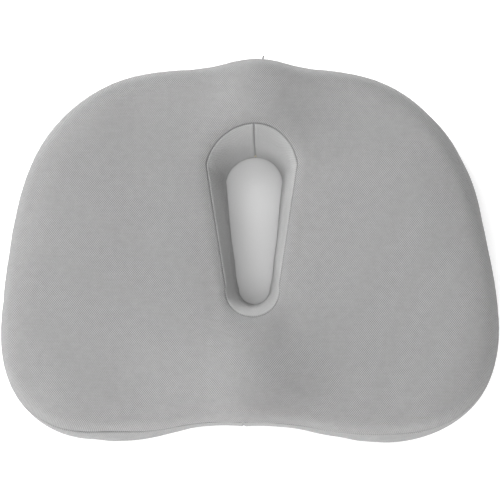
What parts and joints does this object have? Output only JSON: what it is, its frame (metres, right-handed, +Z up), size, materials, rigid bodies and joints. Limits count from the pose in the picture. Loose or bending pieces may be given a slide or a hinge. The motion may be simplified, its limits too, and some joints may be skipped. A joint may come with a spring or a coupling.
{
  "type": "contoured seat cushion",
  "caption": "Contoured foam seat cushion with a tear-drop relief hole, a raised rear and front ridge and a zip-off knitted fabric cover.",
  "frame": {"origin": "on the floor, under the centre of the cushion's bounding box", "axes": "+Z up, +Y towards the rear (the backrest's side, the hole's wide end and the zip), +X to the right when looking from front to rear"},
  "size_m": [0.46, 0.3546, 0.0796],
  "materials": {
    "cover_knit": "matte",
    "grip_fabric": "matte",
    "liner_fabric": "matte",
    "foam": "matte",
    "label_fabric": "satin",
    "zip_tape": "matte",
    "zip_coil": "satin",
    "zip_metal": "satin"
  },
  "bodies": {
    "cover": {"foam_core": "foam", "inner_liner_upper": "liner_fabric", "inner_liner_lower": "liner_fabric", "cover_top_panel": "cover_knit", "cover_side_band_right": "cover_knit", "cover_side_band_left": "cover_knit", "cover_bottom_panel": "grip_fabric", "cover_hole_sleeve": "cover_knit", "care_label": "label_fabric", "zip_tape_upper": "zip_tape", "zip_tape_lower": "zip_tape", "zip_coil_upper": "zip_coil", "zip_coil_lower": "zip_coil", "zip_top_stop_upper": "zip_metal", "zip_top_stop_lower": "zip_metal", "zip_bottom_stop": "zip_metal"},
    "slider": {"slider_body": "zip_metal", "slider_bridge": "zip_metal"},
    "pull_tab": {"pull_tab": "zip_metal"}
  },
  "joints": [
    {"name": "slider_travel", "type": "hinge", "parent": "cover", "child": "slider", "pos_m": [0, -0.1929, 0.012], "axis": [0, 0, 1], "range_deg": [0, 40]},
    {"name": "pull_tab_swing", "type": "hinge", "parent": "slider", "child": "pull_tab", "pos_m": [0.12602, 0.15306, 0.012], "axis": [0, 0, -1], "range_deg": [0, 165]}
  ]
}
